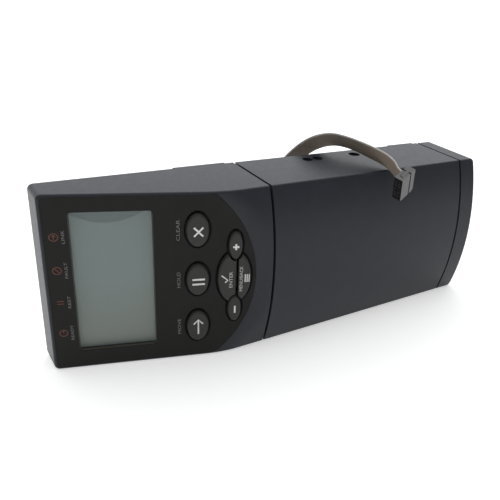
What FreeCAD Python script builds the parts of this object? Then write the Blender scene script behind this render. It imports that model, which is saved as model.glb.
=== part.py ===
"""Front control panel of a desktop label printer, as an assembly of separate pieces.

Millimetres. The panel lies on one of its long side walls, so +Z runs across its width,
+X runs from the display end to the plain end and -Y is the way that the display faces.
The origin is under the middle of the shells' box, on the wall that rests on the table.

Two frames are used below. The bench frame has x from the display end, y = 0 in the plane
of the open back and z from the table. The face frame lies in the tilted display face:
its X runs along the slope, its Y is the depth below the face and its Z is the same as
the bench's. Each piece is brought to the object's own frame when it is saved.
"""
import FreeCAD, Part
import math
import os

from FreeCAD import Vector

# ---- driving dimensions -------------------------------------------------------------
LENGTH = 290.0            # display end to plain end
WIDTH = 106.0             # side wall to side wall
END_DEPTH = 17.4          # depth of the panel at the display end
SIDE_DEPTH = 45.8         # depth of the side walls along the thick part
BULGE = 9.0               # how far the curved front stands out past the side walls
SLOPE_END_X = 89.0        # where the tilted face meets the full depth at the side walls
MID_SEAM_X = 118.4        # joint between display housing and front cover
CAP_SEAM_X = 275.0        # joint between front cover and end cap
SEAM_GAP = 1.6            # open line left at each joint
WALL = 2.5                # wall thickness of the shells
EDGE_RADIUS = 1.4         # rounding of the long outer edges
CREASE_RADIUS = 30.0      # rounding where the tilted face meets the curved front
CORNER_RADIUS = 3.0       # rounding of the corners of the two end walls
TAB_DEPTH = 1.6           # rim tabs that stand out behind the open back

MID_Z = WIDTH / 2
TILT = math.atan((SIDE_DEPTH - END_DEPTH) / SLOPE_END_X)
FRONT_RADIUS = (MID_Z ** 2 + BULGE ** 2) / (2 * BULGE)
FULL_DEPTH = SIDE_DEPTH + BULGE

# tilted face: places along the slope (s) and across it from the middle (c)
OVERLAY_THICK = 0.45
OVERLAY_RECESS = 0.5
OVERLAY_MARGIN = 1.5
OVERLAY_APEX_S = 113.0
OVERLAY_SHOULDER_S = 89.6
WINDOW_S = (13.7, 55.7)
WINDOW_C = (-41.7, 43.1)
WINDOW_RADIUS = 2.2
INDICATOR_S = 6.4
INDICATOR_PITCH = 19.5
INDICATOR_MIDDLE_C = 0.4
BIG_KEY_S = 79.2
BIG_KEY_PITCH = 31.0
BIG_KEY_SIZE = (12.5, 20.0)
SMALL_KEY_S = 100.5
SMALL_KEY_C = 20.7
SMALL_KEY_SIZE = (7.8, 17.4)
CLUSTER_S = 100.2
CLUSTER_SIZE = (19.4, 33.4)
CLUSTER_SPLIT = (100.6, 102.4)
KEY_GAP = 0.5             # gap between a key and its opening
KEY_BEVEL = 0.9           # width of the bevel round each opening
KEY_BEVEL_DEPTH = 1.7     # how far below the face that bevel ends
KEY_PROUD = 2.1           # how far a key stands out of the face
KEY_TRAVEL = 1.0
KEY_ROUNDING = 1.5
FLANGE_REACH = 1.2        # how far a key's flange reaches past its cap
CLUSTER_CLEAR = 1.0       # gap between a cluster key and the small key beside it
STEM_RADIUS = 1.5

# the keys, and where each one lies in its row across the face or along the cluster
KEYS = ("key_clear", "key_hold", "key_move", "key_plus", "key_minus", "key_enter", "key_menu")
BIG_KEYS = {"key_clear": 1, "key_hold": 0, "key_move": -1}
SMALL_KEYS = {"key_plus": 1, "key_minus": -1}
CLUSTER_KEYS = {"key_enter": -1, "key_menu": 1}

# depths below the face of the layers behind it
LENS_DEPTH = (1.9, 3.4)
GASKET_DEPTH = (3.4, 4.2)
BEZEL_DEPTH = (4.2, 9.4)
GLASS_DEPTH = (4.6, 6.8)
BACKLIGHT_DEPTH = (6.8, 9.4)
LCD_BOARD_DEPTH = (9.4, 11.0)
FLANGE_DEPTH = (3.0, 4.0)
MAT_DEPTH = (6.0, 7.0)
MAT_S, MAT_C = (66.5, 108.4), (-41.4, 41.4)
COLLAR_TOP_DEPTH = 5.2
KEYPAD_BOARD_DEPTH = (7.0, 8.6)
CONTROL_BOARD_DEPTH = (12.5, 14.1)

# boards and what stands on them, as (along the slope, across) places
LCD_S, LCD_C = (9.8, 59.2), (-46.0, 46.0)
GLASS_S, GLASS_C = (11.6, 57.8), (-44.2, 45.0)
BOARD_BACK = CONTROL_BOARD_DEPTH[1]
CONTROL_SCREWS = ((6.6, 39.6), (6.6, -39.6), (62.4, 39.6), (62.4, -39.6))
KEYPAD_SCREWS = ((68.6, 45.2), (68.6, -45.2))
SPACER_PLACES = ((111.5, 30.0), (111.5, -30.0))
CHIPS = (((38.0, 52.0), (-12.0, 2.0), 1.8), ((66.0, 78.0), (-30.0, -18.0), 1.6),
         ((66.0, 76.0), (8.0, 26.0), 2.2))
CAN_PLACES = ((30.0, -22.0), (30.0, -31.0), (84.0, -36.0))
CAN_RADIUS = 3.1
CAN_HEIGHT = 6.2
SOUNDER_PLACE = (90.0, 30.0)
SOUNDER_RADIUS = 6.0
SOUNDER_HEIGHT = 6.0
LED_DEPTH = 11.3          # top of the indicators' diodes
PIPE_RADIUS = 1.8
HEADER_S = 103.0
HEADER_C = 5.0
HEADER_SIZE = (8.9, 20.4)
HEADER_HEIGHT = 8.9
HEADER_WALL = 1.2
PIN_HALF = 0.32

# rear frame and its screws
FRAME_DEPTH = (2.0, 3.6)  # distance of its two faces in from the open back
FRAME_MARGIN = 3.2
FRAME_BOSS_Z = 6.4        # boss centres in from each side wall's outside
FRAME_BOSS_X = (14.0, 100.0, 131.0, 262.0, 282.0)
FRAME_BOSS_LENGTH = (4.6, 11.0, 11.0, 11.0, 11.0)
MOUNT_X = (176.0, 240.0)
MOUNT_Z = (16.0, 90.0)
MOUNT_HOLE_RADIUS = 2.25
BOSS_RADIUS = 3.4
FRAME_WINDOWS = (((22, 92), (14, 92)), ((106, 160), (44, 98)),
                 ((192, 230), (20, 86)), ((250, 272), (26, 80)))

# holes in the upper side wall
SIDE_HOLES = ((167.6, 3.6), (175.6, 3.6), (206.4, 4.1))     # place along x, radius
SIDE_HOLE_Y = -9.3

# two-row ribbon connectors, 2.54 mm pitch, 2 x 5 ways
PITCH = 2.54
WAYS = 5
PLUG_LONG = 17.3
PLUG_THICK = 6.1
PLUG_BODY = 8.4
PLUG_COVER = 3.0
PLUG_SLOT = 1.0           # space between a plug's body and cover for the ribbon
PLUG_RELIEF = 2.1
CONTACT_HALF = 0.65       # half the width of a contact's square hole
CONTACT_DEPTH = 6.4
RIBBON_END_IN = 0.6       # how far the ribbon's end lies inside the far plug's closed side
RIBBON_WIDTH = 12.7
RIBBON_THICK = 0.8

# screw sizes: head radius, head height, shank radius
FRAME_SCREW = (2.9, 2.0, 1.5)
BOARD_SCREW = (2.4, 1.6, 1.2)

# the ribbon cable: points of its middle line, and which way its width lies there; the first
# run leaves the board's socket and the last one lies in the far plug's slot
RIBBON_ROUTE = (
    ((103.4, -23.5, 58), (0, 0, -1)),
    ((113, -26.6, 58), (0, 0, -1)),
    ((123, -23, 60), (0.05, 0, -1)),
    ((132, -13, 65), (0.2, 0.1, -0.95)),
    ((143, 1, 74), (0.45, 0.2, -0.85)),
    ((155, 11, 86), (0.6, 0.2, -0.8)),
    ((168, 13, 99), (0.65, 0.15, -0.75)),
    ((181, 8, 111), (0.65, 0.15, -0.75)),
    ((190, -3, 117), (0.6, 0.2, -0.8)),
    ((196, -16, 117), (0.55, 0.25, -0.8)),
    ((201, -30, 115), (0.45, 0.3, -0.85)),
    ((205, -44, 113), (0.4, 0.3, -0.85)),
    ((206, -55, 111), (0.35, 0.3, -0.9)),
    ((201, -61, 107), (0.3, 0.3, -0.9)),
    ((204, -70, 105), (0.3, 0.3, -0.9)),
)


# ---- general helpers ----------------------------------------------------------------
def box(x, y, z):
    """A block between two values on each axis, each given as a (low, high) pair."""
    size = (x[1] - x[0], y[1] - y[0], z[1] - z[0])
    return Part.makeBox(*size, Vector(x[0], y[0], z[0]))


def fuse(shapes):
    """One shape out of several that touch or overlap."""
    first, *rest = shapes
    return first.multiFuse(rest).removeSplitter() if rest else first


def cut_all(shape, tools):
    """The shape without any of the tools."""
    return shape.cut(Part.makeCompound(tools))


def group(shapes):
    """Separate solids kept together in one node."""
    return Part.makeCompound(shapes)


def rounded_prism(s, c, depth, radius):
    """A rounded rectangle along a face-frame depth range; s and c are (low, high)."""
    block = box(s, depth, (MID_Z + c[0], MID_Z + c[1]))
    upright = [edge for edge in block.Edges if runs_along(edge, Vector(0, 1, 0))]
    return block.makeFillet(radius, upright)


def runs_along(edge, direction):
    """True for a straight edge that is parallel to the direction."""
    start, end = edge.Vertexes[0].Point, edge.Vertexes[-1].Point
    along = (end - start).normalize()
    return abs(along.dot(direction)) > 0.999


def oval(s, c, size, depth):
    """An elliptical outline at one depth of the face frame; size is (along s, along c)."""
    centre = Vector(s, depth, MID_Z + c)
    long_end, short_end = centre + Vector(0, 0, size[1] / 2), centre + Vector(size[0] / 2, 0, 0)
    return Part.Wire([Part.Ellipse(long_end, short_end, centre).toShape()])


def oval_prism(s, c, size, depth):
    """An elliptical plug across a face-frame depth range."""
    return Part.Face(oval(s, c, size, depth[0])).extrude(Vector(0, depth[1] - depth[0], 0))


def round_post(s, c, depth, radius):
    """A round post or hole standing square to the face."""
    start = Vector(s, depth[0], MID_Z + c)
    return Part.makeCylinder(radius, depth[1] - depth[0], start, Vector(0, 1, 0))


def from_face_frame(shape):
    """Bring a shape from the face frame into the bench frame."""
    moved = shape.copy()
    moved.rotate(Vector(0, 0, 0), Vector(0, 0, 1), -math.degrees(TILT))
    moved.translate(Vector(0, -END_DEPTH, 0))
    return moved


def screw(base, direction, size, length):
    """A pan-head screw: its head stands on the base point and its shank goes the other way."""
    head_radius, head_height, shank_radius = size
    head = Part.makeCylinder(head_radius, head_height, base, direction)
    rim = [edge for edge in head.Edges if is_upper_rim(edge, base, direction, head_radius)]
    head = head.makeFillet(head_height * 0.4, rim)
    slot = cross_recess(base + direction * head_height, direction, head_radius, head_height)
    shank = Part.makeCylinder(shank_radius, length, base, direction * -1)
    return fuse([head.cut(slot), shank])


def is_upper_rim(edge, base, direction, radius):
    """True for a screw head's round edge on the side away from its base."""
    above = edge.Vertexes[0].Point.sub(base).dot(direction) > 0.1
    return above and edge.Length > radius * 3


def cross_recess(top, direction, head_radius, head_height):
    """The cross cut in a screw's head."""
    arm, half_width, deep = head_radius * 0.62, 0.35, head_height * 0.55
    bars = []
    for across in (Vector(1, 0, 0), Vector(0, 0, 1)):
        other = Vector(0, 0, 1) if across.x else Vector(1, 0, 0)
        half = across * arm + other * half_width
        low, high = top - half - direction * deep, top + half + direction
        bars.append(box(*[sorted((low[i], high[i])) for i in range(3)]))
    return fuse(bars)


# ---- the shells ---------------------------------------------------------------------
def hull(inset):
    """The panel's outer form, moved in by the inset on every side but the open back."""
    length = (inset, LENGTH - inset)
    block = box(length, (-FULL_DEPTH - 10, 1.0 if inset else 0.0), (inset, WIDTH - inset))
    axis_y = -FULL_DEPTH + FRONT_RADIUS
    drum = Part.makeCylinder(FRONT_RADIUS - inset, LENGTH, Vector(0, axis_y, MID_Z), Vector(1, 0, 0))
    shallow = from_face_frame(box((-50, 400), (inset, 500), (-10, WIDTH + 10)))
    return block.common(drum).common(shallow)


def rounded_hull():
    """The outer form with its corners and long edges rounded."""
    body = hull(0.0)
    corners = [edge for edge in body.Edges if runs_along_y_at_an_end(edge)]
    body = body.makeFillet(CORNER_RADIUS, corners)
    body = body.makeFillet(CREASE_RADIUS, [edge for edge in body.Edges if on_the_crease(edge)])
    edges = [edge for edge in body.Edges if on_the_front_rim(edge)]
    return body.makeFillet(EDGE_RADIUS, edges)


def runs_along_y_at_an_end(edge):
    """The upright corners of the two end walls."""
    middle = edge.BoundBox.Center
    at_end = middle.x < 0.1 or middle.x > LENGTH - 0.1
    at_side = middle.z < 0.1 or middle.z > WIDTH - 0.1
    return at_end and at_side and edge.BoundBox.YLength > 1


def on_the_crease(edge):
    """The curved edge between the tilted face and the curved front."""
    box_ = edge.BoundBox
    return box_.XMin > SLOPE_END_X - 1 and box_.XMax < LENGTH / 2 and box_.ZLength > WIDTH / 2


def on_the_front_rim(edge):
    """Edges between the front and the side or end walls, without the back's and the crease."""
    box_ = edge.BoundBox
    if box_.YMax > -0.1:
        return False
    at_side = box_.ZMax < 0.1 or box_.ZMin > WIDTH - 0.1
    at_end = box_.XMax < CORNER_RADIUS + 0.1 or box_.XMin > LENGTH - CORNER_RADIUS - 0.1
    return at_side or at_end


def along(x_low, x_high):
    """A slab that holds everything between two places along the panel."""
    return box((x_low, x_high), (-100, 50), (-50, WIDTH + 50))


def shell_between(x_low, x_high):
    """The panel's skin between two places along it."""
    skin = rounded_hull().cut(hull(WALL))
    return skin.common(along(x_low, x_high))


def lap_tongue(seam_x, reach):
    """A thin inner collar that closes a seam from behind; reach is how far it passes it."""
    outer, inner = hull(WALL + 0.2), hull(WALL + 1.6)
    x = sorted((seam_x, seam_x + reach))
    x_root = sorted((seam_x, seam_x - math.copysign(4.0, reach)))
    collar = outer.cut(inner).common(along(*x))
    root = hull(WALL - 0.3).cut(inner).common(along(*x_root))
    behind = box((0, LENGTH), (-FRAME_DEPTH[1] - 0.3, 5), (0, WIDTH))
    return fuse([collar, root]).cut(behind)


def frame_boss(index, side):
    """A screw boss for the rear frame, grown from a side wall; side is 0 or 1."""
    z = FRAME_BOSS_Z if side == 0 else WIDTH - FRAME_BOSS_Z
    top = Vector(FRAME_BOSS_X[index], -FRAME_DEPTH[1], z)
    length = FRAME_BOSS_LENGTH[index]
    post = Part.makeCylinder(BOSS_RADIUS, length, top, Vector(0, -1, 0))
    web_z = (0.8, FRAME_BOSS_Z) if side == 0 else (WIDTH - FRAME_BOSS_Z, WIDTH - 0.8)
    web = box((top.x - 1.2, top.x + 1.2), (top.y - length, top.y), web_z)
    pilot = Part.makeCylinder(FRAME_SCREW[2], length - 1.0, top, Vector(0, -1, 0))
    return fuse([post, web]).cut(pilot)


def bosses(indices):
    """The frame bosses of one shell, on both side walls."""
    return [frame_boss(index, side) for index in indices for side in (0, 1)]


def rim_tab(x, side):
    """A low tab that stands out behind the open back along one side wall."""
    z = (0.0, WALL - 0.6) if side == 0 else (WIDTH - WALL + 0.6, WIDTH)
    return box(x, (-1.0, TAB_DEPTH), z)


def board_boss(s, c, top_depth):
    """A post behind the tilted face that carries a circuit board."""
    post = round_post(s, c, (1.5, top_depth), 2.6)
    pilot = round_post(s, c, (3.0, top_depth + 1), BOARD_SCREW[2])
    return from_face_frame(post.cut(pilot))


def display_housing():
    """The wedge-shaped shell with the openings for the window, keys and indicators."""
    shell = shell_between(-1, MID_SEAM_X - SEAM_GAP / 2)
    inside = [board_boss(s, c, CONTROL_BOARD_DEPTH[0]) for s, c in CONTROL_SCREWS]
    inside += [board_boss(s, c, KEYPAD_BOARD_DEPTH[0]) for s, c in KEYPAD_SCREWS + SPACER_PLACES]
    shell = fuse([shell] + inside + bosses((0, 1)) + [rim_tab((79, 112), side) for side in (0, 1)])
    depth = (-5, 3.2)
    window = rounded_prism(WINDOW_S, WINDOW_C, depth, WINDOW_RADIUS)
    rebate = rounded_prism(grow(WINDOW_S, 2.2), grow(WINDOW_C, 2.2), (LENS_DEPTH[0], 3.2), 3.0)
    recess = overlay_outline((-5, OVERLAY_RECESS), 0.15)
    holes = [round_post(INDICATOR_S, c, depth, 2.0) for c in indicator_places()]
    cuts = [window, rebate, recess] + holes + [key_opening(name, depth) for name in KEYS]
    cuts += [key_bevel(name) for name in KEYS]
    return cut_all(shell, [from_face_frame(cut) for cut in cuts])


def front_cover():
    """The plain shell of the thick part, with its ribs, lap tongues and side-wall holes."""
    shell = shell_between(MID_SEAM_X + SEAM_GAP / 2, CAP_SEAM_X - SEAM_GAP / 2)
    tongues = [lap_tongue(MID_SEAM_X + SEAM_GAP / 2, -4.6), lap_tongue(CAP_SEAM_X - SEAM_GAP / 2, 3.2)]
    ribs = [cross_rib(x) for x in (186.0, 228.0)]
    tabs = [rim_tab((246, 270), side) for side in (0, 1)]
    shell = fuse([shell] + tongues + ribs + bosses((2, 3)) + tabs)
    start_z = WIDTH - 3 * WALL
    holes = [Part.makeCylinder(radius, 4 * WALL, Vector(x, SIDE_HOLE_Y, start_z))
             for x, radius in SIDE_HOLES]
    return cut_all(shell, holes)


def cross_rib(x):
    """A stiffening rib across the inside of the curved front."""
    slab = box((x, x + 1.8), (-100, -30), (0, WIDTH))
    opening = Part.makeCylinder(60, 10, Vector(x - 5, 15.0, MID_Z), Vector(1, 0, 0))
    return hull(WALL - 0.3).common(slab).cut(opening)


def end_cap():
    """The narrow shell that closes the plain end."""
    shell = shell_between(CAP_SEAM_X + SEAM_GAP / 2, LENGTH + 1)
    return fuse([shell] + bosses((4,)))


# ---- rear frame ---------------------------------------------------------------------
def rear_frame():
    """A sheet-steel ladder that ties the three shells together and carries the mounts."""
    y = (-FRAME_DEPTH[1], -FRAME_DEPTH[0])
    plate = box((FRAME_MARGIN, LENGTH - FRAME_MARGIN), y, (FRAME_MARGIN, WIDTH - FRAME_MARGIN))
    plate = plate.makeFillet(2.5, [edge for edge in plate.Edges if runs_along(edge, Vector(0, 1, 0))])
    windows = [frame_window(x, z) for x, z in FRAME_WINDOWS]
    centres = [(x, z) for x in FRAME_BOSS_X for z in (FRAME_BOSS_Z, WIDTH - FRAME_BOSS_Z)]
    holes = [frame_hole(x, z, FRAME_SCREW[2] + 0.3) for x, z in centres]
    holes += [frame_hole(x, z, MOUNT_HOLE_RADIUS) for x in MOUNT_X for z in MOUNT_Z]
    return cut_all(plate, windows + holes)


def frame_window(x, z):
    """One rounded lightening window of the rear frame."""
    hole = box(x, (-10, 5), z)
    return hole.makeFillet(6.0, [edge for edge in hole.Edges if runs_along(edge, Vector(0, 1, 0))])


def frame_hole(x, z, radius):
    """One round hole through the rear frame."""
    return Part.makeCylinder(radius, 20, Vector(x, -10, z), Vector(0, 1, 0))


def frame_screws():
    """The screws that hold the rear frame to the shells' bosses."""
    shapes = []
    for x, length in zip(FRAME_BOSS_X, FRAME_BOSS_LENGTH):
        for z in (FRAME_BOSS_Z, WIDTH - FRAME_BOSS_Z):
            base = Vector(x, -FRAME_DEPTH[0], z)
            shapes.append(screw(base, Vector(0, 1, 0), frame_screw_size(), min(length, 9.0)))
    return group(shapes)


def frame_screw_size():
    """Head sunk just short of the open back."""
    head_radius, head_height, shank_radius = FRAME_SCREW
    return head_radius, min(head_height, FRAME_DEPTH[0] - 0.2), shank_radius


# ---- the tilted face ----------------------------------------------------------------
def grow(pair, by):
    """A (low, high) pair made wider at both ends."""
    return pair[0] - by, pair[1] + by


def indicator_places():
    """Places of the four indicators across the face."""
    return [INDICATOR_MIDDLE_C + INDICATOR_PITCH * step for step in (-1.5, -0.5, 0.5, 1.5)]


def overlay_outline(depth, extra):
    """The overlay's outline: three straight sides and a bowed fourth, as a prism."""
    low_s, half = OVERLAY_MARGIN - extra, MID_Z - OVERLAY_MARGIN + extra
    shoulder, apex = OVERLAY_SHOULDER_S + extra, OVERLAY_APEX_S + extra
    y = depth[0]
    corner = [Vector(low_s, y, MID_Z - half), Vector(shoulder, y, MID_Z - half),
              Vector(apex, y, MID_Z), Vector(shoulder, y, MID_Z + half), Vector(low_s, y, MID_Z + half)]
    outline = Part.Wire([
        Part.LineSegment(corner[0], corner[1]).toShape(),
        Part.Arc(corner[1], corner[2], corner[3]).toShape(),
        Part.LineSegment(corner[3], corner[4]).toShape(),
        Part.LineSegment(corner[4], corner[0]).toShape()])
    prism = Part.Face(outline).extrude(Vector(0, depth[1] - depth[0], 0))
    sharp = [edge for edge in prism.Edges
             if runs_along(edge, Vector(0, 1, 0)) and edge.BoundBox.XMax < shoulder - 1]
    return prism.makeFillet(1.6, sharp)


def face_overlay():
    """The printed film that covers the tilted face."""
    depth = (OVERLAY_RECESS - OVERLAY_THICK, OVERLAY_RECESS)
    film = overlay_outline(depth, 0.0)
    through = (-1, 2)
    cuts = [rounded_prism(WINDOW_S, WINDOW_C, through, WINDOW_RADIUS)]
    cuts += [key_outline(name, through, KEY_GAP + KEY_BEVEL) for name in KEYS]
    return from_face_frame(cut_all(film, cuts))


def window_lens():
    """The clear plate over the display, held in the housing's rebate."""
    lens = rounded_prism(grow(WINDOW_S, 2.0), grow(WINDOW_C, 2.0), LENS_DEPTH, 2.8)
    return from_face_frame(lens)


def light_pipes():
    """Four clear pegs that carry the indicators' light through the housing."""
    depth = (OVERLAY_RECESS, LED_DEPTH - 0.1)
    pipes = [round_post(INDICATOR_S, c, depth, PIPE_RADIUS) for c in indicator_places()]
    bar_c = (indicator_places()[0] - 3, indicator_places()[-1] + 3)
    bar = box((INDICATOR_S - 1.2, INDICATOR_S + 1.2), (WALL + 0.4, WALL + 1.8),
              (MID_Z + bar_c[0], MID_Z + bar_c[1]))
    return from_face_frame(fuse(pipes + [bar]))


# ---- keys ---------------------------------------------------------------------------
def key_oval(name, extra):
    """Place and size of the oval that a key's opening follows, larger all round by extra."""
    if name in BIG_KEYS:
        s, c, size = BIG_KEY_S, BIG_KEYS[name] * BIG_KEY_PITCH, BIG_KEY_SIZE
    elif name in SMALL_KEYS:
        s, c, size = SMALL_KEY_S, SMALL_KEYS[name] * SMALL_KEY_C, SMALL_KEY_SIZE
    else:
        s, c, size = CLUSTER_S, 0.0, CLUSTER_SIZE
    return s, c, (size[0] + 2 * extra, size[1] + 2 * extra)


def key_outline(name, depth, extra):
    """An oval key's outline, larger all round by extra, as a prism over a depth range."""
    return oval_prism(*key_oval(name, extra), depth)


def key_bevel(name):
    """The sloping rim cut round a key's opening, from under the film down to the opening."""
    rims = ((OVERLAY_RECESS, KEY_GAP + KEY_BEVEL), (KEY_BEVEL_DEPTH, KEY_GAP))
    return Part.makeLoft([oval(*key_oval(name, extra), depth) for depth, extra in rims], True)


def cluster_disc(depth, extra):
    """The whole round cluster, larger all round by extra."""
    return key_outline("key_enter", depth, extra)


def cluster_half(disc, side, clear):
    """One half of a cluster disc, hollowed where the small keys sit beside it."""
    half = (0, CLUSTER_SPLIT[0]) if side < 0 else (CLUSTER_SPLIT[1], LENGTH)
    disc = disc.common(box(half, (-10, 10), (0, WIDTH)))
    room = (SMALL_KEY_SIZE[0] + 2 * clear, SMALL_KEY_SIZE[1] + 2 * clear)
    hollows = [oval_prism(SMALL_KEY_S, sign * SMALL_KEY_C, room, (-10, 10)) for sign in (-1, 1)]
    return cut_all(disc, hollows)


def key_opening(name, depth):
    """The opening that a key moves in; the two halves of the cluster share one."""
    return key_outline(name, depth, KEY_GAP)


def rounded_top(cap):
    """A key's cap with its upper rim rounded."""
    top = [edge for edge in cap.Edges if edge.BoundBox.YMax < -KEY_PROUD + 0.01]
    return cap.makeFillet(KEY_ROUNDING, top)


def oval_key(name):
    """An oval cap and the flange behind the face that stops it from coming out."""
    cap = key_outline(name, (-KEY_PROUD, FLANGE_DEPTH[1]), 0.0)
    return [rounded_top(cap), key_outline(name, FLANGE_DEPTH, FLANGE_REACH)]


def cluster_key(side):
    """A half-round cap, stepped back low down to clear the small keys' flanges."""
    step = FLANGE_DEPTH[0] - KEY_TRAVEL - 0.2
    cap = cluster_half(rounded_top(cluster_disc((-KEY_PROUD, step), 0.0)), side, CLUSTER_CLEAR)
    skirt = cluster_half(cluster_disc((step, FLANGE_DEPTH[1]), 0.0), side, FLANGE_REACH + 0.4)
    flange = cluster_half(cluster_disc(FLANGE_DEPTH, FLANGE_REACH), side, FLANGE_REACH + 0.4)
    return [cap, skirt, flange]


def key_stem_places(name):
    """Where a key's stems stand, as (s, c) places."""
    if name in BIG_KEYS:
        return [(BIG_KEY_S, BIG_KEYS[name] * BIG_KEY_PITCH + shift) for shift in (-4.5, 4.5)]
    if name in SMALL_KEYS:
        return [(SMALL_KEY_S, SMALL_KEYS[name] * SMALL_KEY_C)]
    middle_s = CLUSTER_S + CLUSTER_KEYS[name] * 5.4
    return [(middle_s, shift) for shift in (-5.0, 5.0)]


def key(name):
    """One key: a rounded cap, a retaining flange and the stems that press the contacts."""
    stems = [round_post(s, c, (FLANGE_DEPTH[0], MAT_DEPTH[0] - 0.1), STEM_RADIUS)
             for s, c in key_stem_places(name)]
    body = cluster_key(CLUSTER_KEYS[name]) if name in CLUSTER_KEYS else oval_key(name)
    return from_face_frame(fuse(body + stems))


def keypad_mat():
    """The silicone sheet with a soft collar round every key stem."""
    sheet = rounded_prism(MAT_S, MAT_C, MAT_DEPTH, 3.0)
    places = [place for name in KEYS for place in key_stem_places(name)]
    collars = [round_post(s, c, (COLLAR_TOP_DEPTH, MAT_DEPTH[1]), 2.6) for s, c in places]
    holes = [round_post(s, c, (0, 20), STEM_RADIUS + 0.3) for s, c in places]
    return from_face_frame(cut_all(fuse([sheet] + collars), holes))


def past_the_crease(depth, clear):
    """What lies beyond the curved front's inner face, for trimming boards and sheets."""
    reach = WALL + clear
    axis_y = -FULL_DEPTH + FRONT_RADIUS
    drum = Part.makeCylinder(FRONT_RADIUS - reach, 400, Vector(-50, axis_y, MID_Z), Vector(1, 0, 0))
    drum.translate(Vector(0, END_DEPTH, 0))
    drum.rotate(Vector(0, 0, 0), Vector(0, 0, 1), math.degrees(TILT))
    return box((60, 160), depth, (-5, WIDTH + 5)).cut(drum)


def keypad_board():
    """The small circuit board under the keys."""
    board = rounded_prism((65.6, 115.4), (-48.0, 48.0), KEYPAD_BOARD_DEPTH, 1.5)
    board = board.cut(past_the_crease(KEYPAD_BOARD_DEPTH, 1.0))
    holes = [round_post(s, c, (0, 30), BOARD_SCREW[2] + 0.3) for s, c in KEYPAD_SCREWS + SPACER_PLACES]
    return from_face_frame(cut_all(board, holes))


# ---- display module -----------------------------------------------------------------
def lcd_gasket():
    """The foam ring between lens and display."""
    outer = rounded_prism(grow(WINDOW_S, 1.8), grow(WINDOW_C, 1.3), GASKET_DEPTH, 2.5)
    inner = rounded_prism(grow(WINDOW_S, 0.4), grow(WINDOW_C, 0.4), grow(GASKET_DEPTH, 1), 2.0)
    return from_face_frame(outer.cut(inner))


def lcd_glass():
    """The liquid-crystal cell."""
    return from_face_frame(rounded_prism(GLASS_S, GLASS_C, GLASS_DEPTH, 0.3))


def lcd_bezel():
    """The folded steel frame round the cell, with its four clinched lugs."""
    can = rounded_prism(LCD_S, LCD_C, BEZEL_DEPTH, 1.0)
    room = rounded_prism(grow(GLASS_S, 0.1), grow(GLASS_C, 0.1), (GLASS_DEPTH[0] - 0.02, 20), 0.3)
    view = rounded_prism(grow(WINDOW_S, 0.3), grow(WINDOW_C, 0.3), (0, 20), 1.5)
    return from_face_frame(cut_all(can, [room, view]))


def lcd_backlight():
    """The white light guide behind the cell."""
    return from_face_frame(rounded_prism(GLASS_S, GLASS_C, BACKLIGHT_DEPTH, 0.3))


def lcd_board():
    """The display module's own circuit board."""
    return from_face_frame(rounded_prism(LCD_S, LCD_C, LCD_BOARD_DEPTH, 1.0))


def lcd_header():
    """The strip of pins between the display's board and the control board."""
    c = (-25.4, 25.4)
    gap = (LCD_BOARD_DEPTH[1], CONTROL_BOARD_DEPTH[0])
    return from_face_frame(box((55.8, 58.3), gap, (MID_Z + c[0], MID_Z + c[1])))


# ---- control board ------------------------------------------------------------------
def control_board():
    """The main circuit board, parallel to the tilted face."""
    board = rounded_prism((3.6, 115.0), (-42.6, 42.6), CONTROL_BOARD_DEPTH, 2.0)
    holes = [round_post(s, c, (0, 30), BOARD_SCREW[2] + 0.3) for s, c in CONTROL_SCREWS + SPACER_PLACES]
    return from_face_frame(cut_all(board, holes))


def board_screws(places, depth, length):
    """Pan-head screws on the back of a circuit board."""
    shapes = []
    for s, c in places:
        shapes.append(screw(Vector(s, depth, MID_Z + c), Vector(0, 1, 0), BOARD_SCREW, length))
    return from_face_frame(group(shapes))


def board_spacers():
    """The hexagonal spacers between the keypad board and the control board."""
    shapes = []
    for s, c in SPACER_PLACES:
        base = Vector(s, KEYPAD_BOARD_DEPTH[1], MID_Z + c)
        spokes = [math.radians(60 * k) for k in range(7)]
        corners = [base + Vector(math.cos(a), 0, math.sin(a)) * 2.9 for a in spokes]
        height = CONTROL_BOARD_DEPTH[0] - KEYPAD_BOARD_DEPTH[1]
        spacer = Part.Face(Part.makePolygon(corners)).extrude(Vector(0, height, 0))
        shapes.append(spacer.cut(round_post(s, c, (0, 30), BOARD_SCREW[2] + 0.1)))
    return from_face_frame(group(shapes))


def indicator_leds():
    """The four light-emitting diodes under the light pipes."""
    leds = []
    for c in indicator_places():
        across = (MID_Z + c - 1.0, MID_Z + c + 1.0)
        depth = (LED_DEPTH, CONTROL_BOARD_DEPTH[0])
        leds.append(box((INDICATOR_S - 1.3, INDICATOR_S + 1.3), depth, across))
    return from_face_frame(group(leds))


def keypad_link():
    """The short board-to-board connector under the keypad board."""
    gap = (KEYPAD_BOARD_DEPTH[1], CONTROL_BOARD_DEPTH[0])
    return from_face_frame(box((88.0, 93.1), gap, (MID_Z - 12.7, MID_Z + 12.7)))


def board_chips():
    """The processor, memory and driver packages on the control board."""
    shapes = []
    for s, c, height in CHIPS:
        shapes.append(box(s, (BOARD_BACK, BOARD_BACK + height), (MID_Z + c[0], MID_Z + c[1])))
    return from_face_frame(group(shapes))


def board_capacitors():
    """The round electrolytic capacitors on the control board."""
    cans = []
    for s, c in CAN_PLACES:
        can = round_post(s, c, (BOARD_BACK, BOARD_BACK + CAN_HEIGHT), CAN_RADIUS)
        rim = [edge for edge in can.Edges if edge.BoundBox.YMin > BOARD_BACK + CAN_HEIGHT - 0.2]
        cans.append(can.makeFillet(0.5, rim))
    return from_face_frame(group(cans))


def board_sounder():
    """The round beeper."""
    top = BOARD_BACK + SOUNDER_HEIGHT
    can = round_post(*SOUNDER_PLACE, (BOARD_BACK, top), SOUNDER_RADIUS)
    return from_face_frame(can.cut(round_post(*SOUNDER_PLACE, (top - 1.5, top + 1), 1.2)))


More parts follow.
